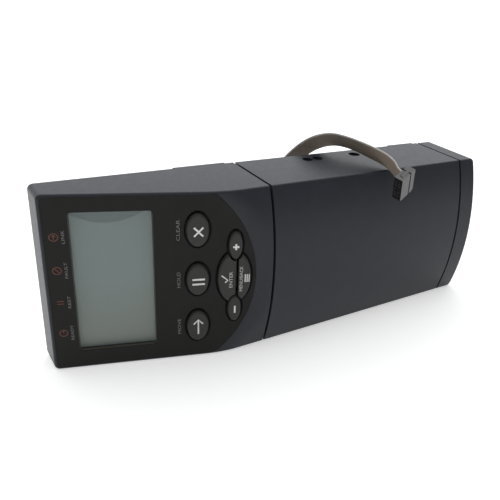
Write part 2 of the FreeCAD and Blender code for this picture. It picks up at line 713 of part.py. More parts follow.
# ---- ribbon connectors --------------------------------------------------------------
def board_header():
    """The open plastic box round the board's ribbon pins."""
    middle_z = MID_Z + HEADER_C
    s = (HEADER_S - HEADER_SIZE[0] / 2, HEADER_S + HEADER_SIZE[0] / 2)
    z = (middle_z - HEADER_SIZE[1] / 2, middle_z + HEADER_SIZE[1] / 2)
    outer = box(s, (BOARD_BACK, BOARD_BACK + HEADER_HEIGHT), z)
    room = box(grow(s, -HEADER_WALL), (BOARD_BACK + 2.4, BOARD_BACK + 20), grow(z, -HEADER_WALL))
    key_slot = box((s[0] - 1, s[0] + 2), (BOARD_BACK + 3.0, BOARD_BACK + 20),
                   (middle_z - 2.3, middle_z + 2.3))
    return from_face_frame(outer.cut(room).cut(key_slot))


def board_header_pins():
    """Its ten square pins."""
    pins = []
    for s, c in pin_places():
        across = (MID_Z + c - PIN_HALF, MID_Z + c + PIN_HALF)
        pins.append(box((s - PIN_HALF, s + PIN_HALF), (BOARD_BACK + 2.4, BOARD_BACK + 8.0), across))
    return from_face_frame(group(pins))


def pin_places():
    """The header's pins as (s, c) places."""
    rows = [HEADER_S + PITCH * (row - 0.5) for row in range(2)]
    return [(s, HEADER_C + PITCH * (way - (WAYS - 1) / 2)) for s in rows for way in range(WAYS)]


def socket_body(bump_x):
    """A ribbon socket in its own frame: x thickness, y away from the mating face, z length.

    bump_x is the (low, high) span of the polarising bump, which stands out of one long side.
    """
    body = box((0, PLUG_THICK), (0, PLUG_BODY), (0, PLUG_LONG))
    key_bump = box(bump_x, (1.0, PLUG_BODY - 2.4), (PLUG_LONG / 2 - 2.0, PLUG_LONG / 2 + 2.0))
    pockets = [latch_pocket(z) for z in ((-1.0, 0.9), (PLUG_LONG - 0.9, PLUG_LONG + 1.0))]
    body = fuse([body, key_bump])
    return cut_all(body, pockets + [socket_hole(row, way) for row in range(2) for way in range(WAYS)])


def latch_pocket(z):
    """The slot at one end of a socket where the cover's arm snaps in."""
    return box((PLUG_THICK / 2 - 1.3, PLUG_THICK / 2 + 1.3), (2.6, PLUG_BODY + 1), z)


def socket_hole(row, way):
    """One square contact hole of a ribbon socket."""
    x = PLUG_THICK / 2 + PITCH * (row - 0.5)
    z = PLUG_LONG / 2 + PITCH * (way - (WAYS - 1) / 2)
    return box((x - CONTACT_HALF, x + CONTACT_HALF), (-1, CONTACT_DEPTH),
               (z - CONTACT_HALF, z + CONTACT_HALF))


def socket_contacts():
    """The ten forked contacts inside a ribbon socket."""
    shapes = []
    for row in range(2):
        for way in range(WAYS):
            hole = socket_hole(row, way).BoundBox
            across = (hole.ZMin + 0.2, hole.ZMax - 0.2)
            tine = box((hole.XMin, hole.XMin + 0.25), (0.8, CONTACT_DEPTH), across)
            shapes.append(tine)
    return group(shapes)


def socket_cover():
    """The cover that presses the ribbon on to the contacts, with its two snap arms."""
    low = PLUG_BODY + PLUG_SLOT
    bar = box((0, PLUG_THICK), (low, low + PLUG_COVER), (0, PLUG_LONG))
    arms = []
    for z in ((0.05, 0.8), (PLUG_LONG - 0.8, PLUG_LONG - 0.05)):
        arms.append(box((PLUG_THICK / 2 - 1.1, PLUG_THICK / 2 + 1.1), (3.2, low + 1), z))
    return fuse([bar] + arms)


def socket_relief():
    """The strain-relief clip over the cover."""
    low = PLUG_BODY + PLUG_SLOT + PLUG_COVER
    clip = box((0.3, PLUG_THICK - 0.3), (low, low + PLUG_RELIEF), (0.4, PLUG_LONG - 0.4))
    top = [edge for edge in clip.Edges if edge.BoundBox.YMin > low + PLUG_RELIEF - 0.01]
    return clip.makeFillet(0.5, top)


def at_board(shape):
    """Seat a socket's part in the board header, mating face down."""
    moved = shape.copy()
    moved.translate(Vector(HEADER_S - PLUG_THICK / 2, BOARD_BACK + 2.6, MID_Z + HEADER_C - PLUG_LONG / 2))
    return from_face_frame(moved)


def hanging_frame():
    """The far plug's axes, from the ribbon's last run: thickness, away from the face, length."""
    before, end = [Vector(*point) for point, _ in RIBBON_ROUTE[-2:]]
    through = (before - end).normalize()
    long_axis = Vector(*RIBBON_ROUTE[-1][1])
    long_axis = (long_axis - through * long_axis.dot(through)).normalize()
    return through, long_axis.cross(through), long_axis


def at_far_end(shape):
    """Place a socket's part on the ribbon's far end, its key bump towards the table side."""
    axes = hanging_frame()
    corner = Vector(*RIBBON_ROUTE[-1][0])
    for axis, inside in zip(axes, (RIBBON_END_IN, PLUG_BODY + PLUG_SLOT / 2, PLUG_LONG / 2)):
        corner = corner - axis * inside
    rows = [[axis[i] for axis in axes] + [corner[i]] for i in range(3)]
    return shape.transformed(FreeCAD.Matrix(*rows[0], *rows[1], *rows[2], 0, 0, 0, 1))


# ---- ribbon cable -------------------------------------------------------------------
def ribbon_corners():
    """Four lists of points, one for each long edge of the flat ribbon, and its middle line."""
    middle = [Vector(*point) for point, _ in RIBBON_ROUTE]
    lists = [[], [], [], []]
    for index, (_, width_way) in enumerate(RIBBON_ROUTE):
        before = middle[max(index - 1, 0)]
        after = middle[min(index + 1, len(middle) - 1)]
        along_way = (after - before).normalize()
        across = Vector(*width_way)
        across = (across - along_way * across.dot(along_way)).normalize()
        out = along_way.cross(across)
        half_width, half_thick = across * (RIBBON_WIDTH / 2), out * (RIBBON_THICK / 2)
        signs = ((1, 1), (1, -1), (-1, -1), (-1, 1))
        for points, (wide, thick) in zip(lists, signs):
            points.append(middle[index] + half_width * wide + half_thick * thick)
    return lists, middle


def rounded_route(points):
    """Straight runs through the points, joined by tangent arcs; also the arcs' radii."""
    edges, radii = [], []
    start = points[0]
    for before, corner, after in zip(points, points[1:], points[2:]):
        back, ahead = before - corner, after - corner
        setback = 0.45 * min(back.Length, ahead.Length)
        into = corner + back.normalize() * setback
        out_of = corner + ahead.normalize() * setback
        half_turn = (math.pi - back.getAngle(ahead)) / 2
        radius = setback / math.tan(half_turn)
        towards = ((into + out_of) * 0.5 - corner).normalize()
        centre = corner + towards * math.hypot(radius, setback)
        edges.append(Part.LineSegment(start, into).toShape())
        edges.append(Part.Arc(into, centre - towards * radius, out_of).toShape())
        radii.append(radius)
        start = out_of
    edges.append(Part.LineSegment(start, points[-1]).toShape())
    return edges, radii


def ribbon_cable():
    """The flat cable as one strip: ruled faces between its four long edges."""
    corner_lists, middle = ribbon_corners()
    routes = [rounded_route(points)[0] for points in corner_lists]
    faces = []
    for here, there in zip(routes, routes[1:] + routes[:1]):
        faces += [Part.makeRuledSurface(a, b) for a, b in zip(here, there)]
    for end in (0, -1):
        loop = [points[end] for points in corner_lists]
        faces.append(Part.Face(Part.makePolygon(loop + loop[:1])))
    skin = Part.makeShell(faces)
    skin.sewShape()
    strip = Part.makeSolid(skin if skin.ShapeType == "Shell" else skin.Shells[0])
    if strip.Volume < 0:
        strip.reverse()
    centre_edges, radii = rounded_route(middle)
    length = sum(edge.Length for edge in centre_edges)
    print("ribbon: length %.1f, volume %.0f against %.0f, radii %s" % (
        length, strip.Volume, length * RIBBON_WIDTH * RIBBON_THICK, [round(r, 1) for r in radii]))
    return strip


# ---- saving -------------------------------------------------------------------------
def nodes():
    """Every piece of the assembly by name, in the bench frame."""
    pieces = {
        "display_housing": display_housing(),
        "front_cover": front_cover(),
        "end_cap": end_cap(),
        "rear_frame": rear_frame(),
        "frame_screws": frame_screws(),
        "face_overlay": face_overlay(),
        "window_lens": window_lens(),
        "lcd_gasket": lcd_gasket(),
        "lcd_glass": lcd_glass(),
        "lcd_bezel": lcd_bezel(),
        "lcd_backlight": lcd_backlight(),
        "lcd_board": lcd_board(),
        "lcd_header": lcd_header(),
        "light_pipes": light_pipes(),
        "indicator_leds": indicator_leds(),
        "keypad_mat": keypad_mat(),
        "keypad_board": keypad_board(),
        "keypad_screws": board_screws(KEYPAD_SCREWS, KEYPAD_BOARD_DEPTH[1], 5.0),
        "keypad_link": keypad_link(),
        "board_spacers": board_spacers(),
        "control_board": control_board(),
        "control_screws": board_screws(CONTROL_SCREWS, BOARD_BACK, 8.0),
        "spacer_screws": board_screws(SPACER_PLACES, BOARD_BACK, 11.0),
        "board_chips": board_chips(),
        "board_capacitors": board_capacitors(),
        "board_sounder": board_sounder(),
        "board_header": board_header(),
        "board_header_pins": board_header_pins(),
        "board_plug_body": at_board(socket_body((-0.9, 0.5))),
        "board_plug_contacts": at_board(socket_contacts()),
        "board_plug_cover": at_board(socket_cover()),
        "ribbon_cable": ribbon_cable(),
        "far_plug_body": at_far_end(socket_body((PLUG_THICK - 0.5, PLUG_THICK + 0.9))),
        "far_plug_contacts": at_far_end(socket_contacts()),
        "far_plug_cover": at_far_end(socket_cover()),
        "far_plug_relief": at_far_end(socket_relief()),
    }
    pieces.update({name: key(name) for name in KEYS})
    return pieces


def main():
    """Write one file for each piece, with the origin under the middle of the shells' box."""
    os.makedirs("parts", exist_ok=True)
    to_origin = Vector(-LENGTH / 2, (FULL_DEPTH - TAB_DEPTH) / 2, 0)
    for name, shape in nodes().items():
        if not shape.isValid():
            print("not valid:", name)
        shape.translate(to_origin)
        shape.exportStep("parts/%s.step" % name)
        bounds = shape.optimalBoundingBox(False, False)
        print("%-20s %2d solids  %7.1f mm3  x %6.1f..%6.1f  y %6.1f..%6.1f  z %6.1f..%6.1f" % (
            name, len(shape.Solids), shape.Volume, bounds.XMin, bounds.XMax, bounds.YMin, bounds.YMax,
            bounds.ZMin, bounds.ZMax))


main()
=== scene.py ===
"""The looks of a label printer's front control panel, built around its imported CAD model."""
import math

import bmesh
import bpy
from mathutils import Euler, Matrix, Vector


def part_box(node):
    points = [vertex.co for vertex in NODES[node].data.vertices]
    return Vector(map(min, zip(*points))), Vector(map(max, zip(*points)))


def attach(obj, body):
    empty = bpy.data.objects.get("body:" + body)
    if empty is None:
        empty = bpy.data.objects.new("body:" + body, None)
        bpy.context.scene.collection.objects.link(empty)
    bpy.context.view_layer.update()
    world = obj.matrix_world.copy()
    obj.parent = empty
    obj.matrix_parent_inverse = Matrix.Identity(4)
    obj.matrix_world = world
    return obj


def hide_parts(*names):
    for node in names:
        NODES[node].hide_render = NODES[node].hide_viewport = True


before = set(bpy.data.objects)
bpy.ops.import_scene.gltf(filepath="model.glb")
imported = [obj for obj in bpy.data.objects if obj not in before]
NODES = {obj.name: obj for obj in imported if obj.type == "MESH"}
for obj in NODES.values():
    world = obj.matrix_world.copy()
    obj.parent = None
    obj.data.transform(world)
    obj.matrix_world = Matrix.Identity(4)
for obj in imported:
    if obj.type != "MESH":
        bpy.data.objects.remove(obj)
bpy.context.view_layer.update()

# ---- places taken from the part -----------------------------------------------------
TILT = math.atan(28.4 / 89.0)          # slope of the display face
FACE_START = Vector((-0.145, 0.0092, 0.053))       # where the slope starts, in the middle of the width
SLOPE = Vector((math.cos(TILT), -math.sin(TILT), 0.0))
INTO = Vector((math.sin(TILT), math.cos(TILT), 0.0))
UP_Z = Vector((0.0, 0.0, 1.0))
KEY_TOP = -2.1                         # depth of a key's top, mm; it stands proud of the face

KEYS = ("key_clear", "key_hold", "key_move", "key_plus", "key_minus", "key_enter", "key_menu")


def on_face(s, c, depth):
    """A point of the tilted face: mm along it, mm across it from the middle, mm below it."""
    return FACE_START + SLOPE * (s / 1000) + UP_Z * (c / 1000) + INTO * (depth / 1000)


# ---- helpers ------------------------------------------------------------------------
def new_object(name, data):
    """A new object in the scene."""
    thing = bpy.data.objects.new(name, data)
    bpy.context.scene.collection.objects.link(thing)
    return thing


def piece_from_bmesh(name, mesh, smooth=False):
    """A new object from a bmesh."""
    data = bpy.data.meshes.new(name)
    mesh.to_mesh(data)
    mesh.free()
    for face in data.polygons:
        face.use_smooth = smooth
    return new_object(name, data)


def mesh_from(holder):
    """The mesh of a curve or text object, which is then removed."""
    mesh = bpy.data.meshes.new_from_object(holder)
    data = holder.data
    bpy.data.objects.remove(holder)
    bpy.data.curves.remove(data)
    return mesh


def join_rings(mesh, rings):
    """Faces all the way round between each ring of points and the next."""
    for here, there in zip(rings, rings[1:]):
        for k in range(len(here)):
            after = (k + 1) % len(here)
            mesh.faces.new((here[k], here[after], there[after], there[k]))


# ---- camera -------------------------------------------------------------------------
def make_camera():
    """The viewpoint, above the floor in front of the display end."""
    data = bpy.data.cameras.new("camera")
    data.sensor_width = 36.0
    data.lens = 44.263
    data.shift_x = -0.2015
    data.shift_y = 0.0034
    data.clip_start = 0.01
    camera = new_object("camera", data)
    camera.location = (-0.20138, -0.30871, 0.22594)
    angles = [math.radians(a) for a in (64.8797, -5.9558, -36.8347)]
    camera.rotation_euler = Euler(angles, "XYZ")
    bpy.context.scene.camera = camera


# ---- ribbon cable -------------------------------------------------------------------
# points of the cable's middle line, and which way its width lies there (metres, row frame)
ROUTE = (
    ((-0.0416, 0.0031, 0.058), (0, 0, -1)),
    ((-0.0320, 0.0000, 0.058), (0, 0, -1)),
    ((-0.0220, 0.0036, 0.060), (0.05, 0, -1)),
    ((-0.0130, 0.0136, 0.065), (0.2, 0.1, -0.95)),
    ((-0.0020, 0.0276, 0.074), (0.45, 0.2, -0.85)),
    ((0.0100, 0.0376, 0.086), (0.6, 0.2, -0.8)),
    ((0.0230, 0.0396, 0.099), (0.65, 0.15, -0.75)),
    ((0.0360, 0.0346, 0.111), (0.65, 0.15, -0.75)),
    ((0.0450, 0.0236, 0.117), (0.6, 0.2, -0.8)),
    ((0.0510, 0.0106, 0.117), (0.55, 0.25, -0.8)),
    ((0.0560, -0.0034, 0.115), (0.45, 0.3, -0.85)),
    ((0.0600, -0.0174, 0.113), (0.4, 0.3, -0.85)),
    ((0.0598, -0.0284, 0.110), (0.35, 0.3, -0.9)),
    ((0.0568, -0.0346, 0.107), (0.3, 0.3, -0.9)),
    ((0.0590, -0.0434, 0.105), (0.3, 0.3, -0.9)),
)
LAST_RUN = Vector(ROUTE[-1][0]) - Vector(ROUTE[-2][0])
PLUG_FACING = Vector(ROUTE[-1][1]).cross(LAST_RUN).normalized()     # the way the plug's mating face looks
CORE_PITCH = 0.00127
CORES = 10
STEPS_PER_CORE = 6
WEB = 0.00024                          # half the thickness between two cores, metres
RIDGE = 0.00016                        # how far a core stands proud of that


def spline_points(points):
    """Points along the smooth curve that the control points give."""
    data = bpy.data.curves.new("route", "CURVE")
    data.dimensions = "3D"
    data.resolution_u = 16
    spline = data.splines.new("NURBS")
    spline.points.add(len(points) - 1)
    for target, point in zip(spline.points, points):
        target.co = (*point, 1.0)
    spline.order_u = 3
    spline.use_endpoint_u = True
    mesh = mesh_from(new_object("route", data))
    line = [v.co.copy() for v in mesh.vertices]
    bpy.data.meshes.remove(mesh)
    return line


def core_profile():
    """Across-and-out places of one long side of the ribbon: a row of rounded ridges."""
    profile = []
    for core in range(CORES):
        middle = (core - (CORES - 1) / 2) * CORE_PITCH
        for step in range(STEPS_PER_CORE):
            angle = math.pi * (step + 0.5) / STEPS_PER_CORE
            across = middle - math.cos(angle) * CORE_PITCH / 2
            out = WEB + RIDGE * math.sin(angle)
            profile.append((across, out))
    return profile


def make_ribbon():
    """The flat cable with its ten round cores, along the route's smooth curve."""
    line = spline_points([point for point, _ in ROUTE])
    ways = spline_points([way for _, way in ROUTE])
    top = core_profile()
    ring_shape = top + [(a, -o) for a, o in reversed(top)]
    mesh = bmesh.new()
    rings = []
    for index, point in enumerate(line):
        ahead = line[min(index + 1, len(line) - 1)] - line[max(index - 1, 0)]
        ahead.normalize()
        across = ways[index] - ahead * ways[index].dot(ahead)
        across.normalize()
        out = ahead.cross(across)
        rings.append([mesh.verts.new(point + across * a + out * o) for a, o in ring_shape])
    join_rings(mesh, rings)
    count = len(ring_shape)
    for ring in (rings[0][::-1], rings[-1]):
        for k in range(count // 2 - 1):
            mesh.faces.new((ring[k], ring[k + 1], ring[count - 2 - k], ring[count - 1 - k]))
    bmesh.ops.recalc_face_normals(mesh, faces=mesh.faces)
    ribbon = piece_from_bmesh("ribbon", mesh, smooth=True)
    ribbon.data.materials.append(ribbon_material("ribbon_insulation", (0.30, 0.247, 0.20), 0.5))
    # painted highlight: the outermost core at each edge is paler, standing in for light caught by the
    # ribbon's edges
    ribbon.data.materials.append(ribbon_material("ribbon_edge_painted_highlight", (0.60, 0.57, 0.53), 0.3))
    for face in list(ribbon.data.polygons)[:count * (len(line) - 1)]:
        place = face.index % count
        if min(place, count - 2 - place) < STEPS_PER_CORE - 1:
            face.material_index = 1
    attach(ribbon, "root")
    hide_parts("ribbon_cable")


# ---- materials ----------------------------------------------------------------------
def set_inputs(node, values):
    """Set a node's inputs by name, with underscores for the spaces."""
    for name, value in values.items():
        node.inputs[name.replace("_", " ")].default_value = value


class Recipe:
    """A node material under construction, with short ways to add what most of them need."""

    def __init__(self, name):
        self.material = bpy.data.materials.new(name)
        self.material.use_nodes = True
        self.tree = self.material.node_tree
        self.shader = self.tree.nodes["Principled BSDF"]
        place = self.tree.nodes.new("ShaderNodeTexCoord")
        self.place = place.outputs["Object"]

    def set(self, **values):
        """Set the shader's own sockets; an underscore stands for a space in a socket's name."""
        set_inputs(self.shader, values)
        return self

    def add(self, kind, **values):
        """A new node, with some of its inputs set."""
        node = self.tree.nodes.new(kind)
        set_inputs(node, values)
        return node

    def noise(self, scale, detail=3.0, stretch=None):
        """A noise field's value; stretch squeezes it along the axes."""
        node = self.add("ShaderNodeTexNoise", Scale=scale, Detail=detail, Roughness=0.55)
        source = self.place
        if stretch:
            mapping = self.add("ShaderNodeMapping", Scale=stretch)
            self.tree.links.new(source, mapping.inputs["Vector"])
            source = mapping.outputs["Vector"]
        self.tree.links.new(source, node.inputs["Vector"])
        return node.outputs["Fac"]

    def grains(self, scale):
        """Cell distance, for moulded texture."""
        node = self.add("ShaderNodeTexVoronoi", Scale=scale)
        self.tree.links.new(self.place, node.inputs["Vector"])
        return node.outputs["Distance"]

    def spread(self, value, low, high, from_low=0.3, from_high=0.7):
        """A value carried from one range to another."""
        node = self.add("ShaderNodeMapRange", From_Min=from_low, From_Max=from_high, To_Min=low, To_Max=high)
        self.tree.links.new(value, node.inputs["Value"])
        return node.outputs["Result"]

    def colours(self, value, *stops):
        """A colour ramp over a value; stops are (place, colour)."""
        node = self.add("ShaderNodeValToRGB")
        ramp = node.color_ramp
        while len(ramp.elements) < len(stops):
            ramp.elements.new(0.5)
        for element, (place, colour) in zip(ramp.elements, stops):
            element.position = place
            element.color = (*colour, 1.0)
        self.tree.links.new(value, node.inputs["Fac"])
        return node.outputs["Color"]

    def maths(self, operation, first, second):
        """One arithmetic step; each side is a socket or a number."""
        node = self.add("ShaderNodeMath")
        node.operation = operation
        for socket, value in zip(node.inputs, (first, second)):
            if isinstance(value, (int, float)):
                socket.default_value = value
            else:
                self.tree.links.new(value, socket)
        return node.outputs["Value"]

    def link(self, value, socket):
        """Let a value drive one of the shader's sockets."""
        self.tree.links.new(value, self.shader.inputs[socket])

    def tint(self, value, first, last, from_low=0.3, from_high=0.7):
        """Colour the surface from one colour to another as a value rises."""
        rise = self.spread(value, 0.0, 1.0, from_low, from_high)
        self.link(self.colours(rise, (0.0, first), (1.0, last)), "Base Color")

    def gloss(self, value, low, high):
        """Make the roughness follow a value."""
        self.link(self.spread(value, low, high), "Roughness")

    def bump(self, value, strength, distance):
        """Add one more layer of bump over what is there."""
        node = self.add("ShaderNodeBump", Strength=strength, Distance=distance)
        self.tree.links.new(value, node.inputs["Height"])
        below = self.shader.inputs["Normal"].links
        if below:
            self.tree.links.new(below[0].from_socket, node.inputs["Normal"])
        self.tree.links.new(node.outputs["Normal"], self.shader.inputs["Normal"])


def shade(colour, factor):
    """A colour made lighter or darker."""
    return tuple(min(1.0, channel * factor) for channel in colour)


def moulded(name, colour, roughness, grain=1600.0, grain_depth=0.00002, strength=0.25, vary=0.05,
            specular=0.5):
    """Moulded plastic with a fine eroded texture, faint clouding and uneven gloss."""
    recipe = Recipe(name).set(Specular_IOR_Level=specular)
    cloud = recipe.noise(110.0, 4.0)
    speck = recipe.noise(2600.0, 2.0)
    recipe.tint(cloud, shade(colour, 1 - vary), shade(colour, 1 + vary))
    recipe.gloss(recipe.noise(400.0, 5.0), roughness - 0.03, roughness + 0.04)
    recipe.bump(recipe.grains(grain), strength, grain_depth)
    recipe.bump(speck, strength * 0.6, grain_depth)
    return recipe.material


def metal(name, colour, roughness, stretch):
    """Rolled or plated metal with fine lines and dull patches."""
    recipe = Recipe(name).set(Metallic=1.0)
    patches = recipe.noise(60.0, 5.0)
    lines = recipe.noise(900.0, 3.0, stretch=stretch)
    recipe.tint(patches, shade(colour, 0.82), colour)
    recipe.gloss(lines, roughness - 0.1, roughness + 0.14)
    recipe.bump(lines, 0.12, 0.00002)
    return recipe.material


def printed(name, colour):
    """Screen-printed ink: slightly uneven in tone and gloss."""
    recipe = Recipe(name).set(Specular_IOR_Level=0.4)
    recipe.tint(recipe.noise(900.0), shade(colour, 0.85), colour)
    recipe.gloss(recipe.noise(500.0), 0.45, 0.58)
    recipe.bump(recipe.noise(1800.0), 0.1, 0.00001)
    return recipe.material


def ribbon_material(name, colour, roughness):
    """Ribbon insulation, a little chalky and uneven; also the paler edge cores that are a painted highlight.
    """
    recipe = Recipe(name).set(Specular_IOR_Level=0.25)
    recipe.tint(recipe.noise(90.0, 4.0), shade(colour, 0.9), colour)
    recipe.gloss(recipe.noise(300.0), roughness - 0.08, roughness + 0.1)
    recipe.bump(recipe.noise(1500.0), 0.15, 0.00002)
    return recipe.material


def plug_material():
    """Grey connector moulding, with painted shade that turns it nearly black on the faces that look as the
    mating face does.
    """
    recipe = Recipe("plug_moulding_painted_shade").set(Specular_IOR_Level=0.3)
    geometry = recipe.add("ShaderNodeNewGeometry")
    facing = recipe.add("ShaderNodeVectorMath")
    facing.operation = "DOT_PRODUCT"
    facing.inputs[1].default_value = PLUG_FACING
    recipe.tree.links.new(geometry.outputs["Normal"], facing.inputs[0])
    # painted shade: faces turned the way the mating face looks go nearly black, standing in for the shade in
    # its holes
    recipe.tint(facing.outputs["Value"], (0.135, 0.13, 0.13), (0.004, 0.004, 0.005), 0.7, 0.95)
    recipe.gloss(recipe.noise(500.0), 0.42, 0.55)
    recipe.bump(recipe.grains(2600.0), 0.25, 0.00002)
    return recipe.material


def clear_material():
    """Clear plastic with a dark tint, a little uneven in gloss and surface."""
    recipe = Recipe("lens_clear").set(Base_Color=(0.05, 0.06, 0.06, 1.0), Alpha=0.07)
    recipe.gloss(recipe.noise(200.0), 0.08, 0.16)
    recipe.bump(recipe.noise(30.0), 0.02, 0.0001)
    return recipe.material


# painted light: the cell's weak glow stands in for light falling on it
DISPLAY_PAINTED_GLOW = 0.2
DISPLAY_LOW = (0.20, 0.20, 0.17)       # colours by the display's lower edge, in its middle and in the arc
DISPLAY_PALE = (0.185, 0.225, 0.215)
# painted shadow: the colour of the arc by the cell's upper edge
DISPLAY_ARC_SHADOW = (0.10, 0.125, 0.12)
ARC_SHIFT = 0.003                      # how far the arc's lowest point lies from the middle, metres
ARC_BOW = 18.0                         # its rise in metres is this times the squared distance from there
ARC_EDGE = (0.882, 0.894)              # where the arc starts and is full, as parts of the height


def display_material():
    """The liquid-crystal cell: pale grey-green, with a weak painted glow, and painted shadow in a shallow arc
    by its upper edge.
    """
    recipe = Recipe("display_cell").set(Specular_IOR_Level=0.3, Emission_Strength=DISPLAY_PAINTED_GLOW,
                                        Emission_Color=(0.235, 0.30, 0.29, 1.0))
    axes = recipe.add("ShaderNodeSeparateXYZ")
    recipe.tree.links.new(recipe.place, axes.inputs["Vector"])
    low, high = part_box("lcd_glass")
    aside = recipe.maths("ADD", axes.outputs["X"], -(low.x + high.x) / 2 + ARC_SHIFT)
    bow = recipe.maths("MULTIPLY", recipe.maths("MULTIPLY", aside, aside), ARC_BOW)
    height = recipe.maths("SUBTRACT", axes.outputs["Z"], bow)
    tone = recipe.spread(height, 0.0, 1.0, low.z, high.z)
    # above the arc's edge the tone turns to the painted shadow
    stops = ((0.0, DISPLAY_LOW), (0.5, DISPLAY_PALE), (ARC_EDGE[0], shade(DISPLAY_PALE, 0.95)),
             (ARC_EDGE[1], DISPLAY_ARC_SHADOW), (1.0, DISPLAY_ARC_SHADOW))
    recipe.link(recipe.colours(tone, *stops), "Base Color")
    recipe.gloss(recipe.noise(80.0), 0.3, 0.4)
    recipe.bump(recipe.noise(600.0), 0.02, 0.00001)
    return recipe.material


def board_material():
    """Green solder mask over a pattern of paler copper runs, slightly uneven."""
    recipe = Recipe("solder_mask").set(Specular_IOR_Level=0.5)
    bricks = recipe.add("ShaderNodeTexBrick", Scale=150.0, Mortar_Size=0.035,
                        Color1=(0.012, 0.115, 0.05, 1.0), Color2=(0.018, 0.15, 0.065, 1.0),
                        Mortar=(0.03, 0.22, 0.09, 1.0))
    bricks.offset = 0.37
    turn = recipe.add("ShaderNodeMapping", Rotation=(math.pi / 2, 0.0, 0.0))
    recipe.tree.links.new(recipe.place, turn.inputs["Vector"])
    recipe.tree.links.new(turn.outputs["Vector"], bricks.inputs["Vector"])
    recipe.link(bricks.outputs["Color"], "Base Color")
    recipe.gloss(recipe.noise(400.0), 0.22, 0.4)
    recipe.bump(bricks.outputs["Fac"], 0.25, 0.00003)
    recipe.bump(recipe.noise(1500.0), 0.1, 0.00001)
    return recipe.material


# ---- window trim --------------------------------------------------------------------
WINDOW_S = (13.7, 55.7)                # the window's opening, along the face and across it, mm
WINDOW_C = (-41.7, 43.1)
WINDOW_CORNER = 2.2
TRIM_SECTION = ((0.03, 0.5), (0.03, 1.85), (0.55, 1.85), (0.15, 0.6))      # inset and depth, mm


def window_outline(inset, depth, steps=8):
    """Points round the window's opening, moved in by the inset, at one depth below the face."""
    radius = WINDOW_CORNER - inset
    points = []
    for quarter, (s, c) in enumerate(((1, 1), (0, 1), (0, 0), (1, 0))):
        middle_s = WINDOW_S[s] - (2 * s - 1) * WINDOW_CORNER
        middle_c = WINDOW_C[c] - (2 * c - 1) * WINDOW_CORNER
        for step in range(steps + 1):
            angle = math.pi / 2 * (quarter + step / steps)
            edge_s = middle_s + radius * math.cos(angle)
            edge_c = middle_c + radius * math.sin(angle)
            points.append(on_face(edge_s, edge_c, depth))
    return points


def make_window_trim():
    """A thin lining of the window's opening, paler than the housing: painted light on the opening's walls."""
    mesh = bmesh.new()
    lines = [window_outline(inset, depth) for inset, depth in TRIM_SECTION]
    rings = [[mesh.verts.new(point) for point in line] for line in lines]
    join_rings(mesh, rings + rings[:1])
    bmesh.ops.recalc_face_normals(mesh, faces=mesh.faces)
    trim = piece_from_bmesh("window_trim", mesh)
    # painted light: the lining's paler olive colour stands in for light on the opening's lower wall
    trim.data.materials.append(moulded("trim_painted_light", (0.052, 0.048, 0.038), 0.4, grain=2600.0,
                                       grain_depth=0.00001))
    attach(trim, "root")


# ---- small parts on the control board -----------------------------------------------
BOARD_BACK = 14.1                      # depth of the board's rear face, mm
# each chip's ends along the slope, and the two sides across it where its legs are, mm
CHIPS = (((38.0, 52.0), (-12.0, 2.0)), ((66.0, 78.0), (-30.0, -18.0)), ((66.0, 76.0), (8.0, 26.0)))
LEG_PITCH = 1.27
# a leg's stem and foot: how far out from the chip, how far off the board, and size, mm
LEG_PARTS = ((0.25, 0.1, (0.45, 0.4, 0.9)), (0.95, 0.02, (0.45, 1.3, 0.25)))
# each row of chip resistors: its place along the slope, its first place across, and how many, mm
CHIP_RESISTORS = ((34.0, -9.0, 4), (56.0, -9.0, 4), (61.5, 11.0, 5), (84.0, -25.0, 3), (82.0, 8.0, 5),
                  (18.0, 12.0, 7), (22.5, 12.0, 7), (46.0, 24.0, 3), (50.5, 24.0, 3))
RESISTOR_STEP = 3.0
RESISTOR_SIZE = (1.5, 1.2, 0.55)
RESISTOR_LIFT = 0.02                   # off the board
RESISTOR_CAP_SIZE = (0.4, 1.25, 0.6)
RESISTOR_CAP_LIFT = 0.01
RESISTOR_CAP_PLACE = 0.95              # from the resistor's middle
BLOCK_BEVEL = 0.06


def add_block(mesh, s, c, height, size):
    """A small block standing on the board; its size is along the slope, across it and up, mm."""
    basis = Matrix((SLOPE, UP_Z, INTO)).transposed().to_4x4()
    place = Matrix.Translation(on_face(s, c, BOARD_BACK + height + size[2] / 2))
    stretch = Matrix.Diagonal((size[0] / 1000, size[1] / 1000, size[2] / 1000, 1.0))
    bmesh.ops.create_cube(mesh, size=1.0, matrix=place @ basis @ stretch)


def finish_blocks(name, mesh, material):
    """Round the blocks' edges a little and make them one piece of the object."""
    bmesh.ops.recalc_face_normals(mesh, faces=mesh.faces)
    bmesh.ops.bevel(mesh, geom=mesh.edges, offset=BLOCK_BEVEL / 1000, segments=2, affect="EDGES")
    piece = piece_from_bmesh(name, mesh)
    piece.data.materials.append(material)
    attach(piece, "root")


def make_board_details():
    """The chips' tinned legs, and rows of chip resistors with tinned ends."""
    tin, ceramic = bmesh.new(), bmesh.new()
    for (low_s, high_s), sides in CHIPS:
        for k in range(int((high_s - low_s) / LEG_PITCH) - 1):
            s = low_s + LEG_PITCH * (k + 1)
            for c, way in zip(sides, (-1, 1)):
                for out, lift, size in LEG_PARTS:
                    add_block(tin, s, c + way * out, lift, size)
    for s, first_c, count in CHIP_RESISTORS:
        for c in [first_c + RESISTOR_STEP * k for k in range(count)]:
            add_block(ceramic, s, c, RESISTOR_LIFT, RESISTOR_SIZE)
            for end in (-RESISTOR_CAP_PLACE, RESISTOR_CAP_PLACE):
                add_block(tin, s + end, c, RESISTOR_CAP_LIFT, RESISTOR_CAP_SIZE)
    finish_blocks("board_tin", tin, metal("tinned", (0.55, 0.55, 0.54), 0.35, (1.0, 1.0, 1.0)))
    finish_blocks("chip_resistors", ceramic, moulded("ceramic", (0.03, 0.022, 0.018), 0.4))


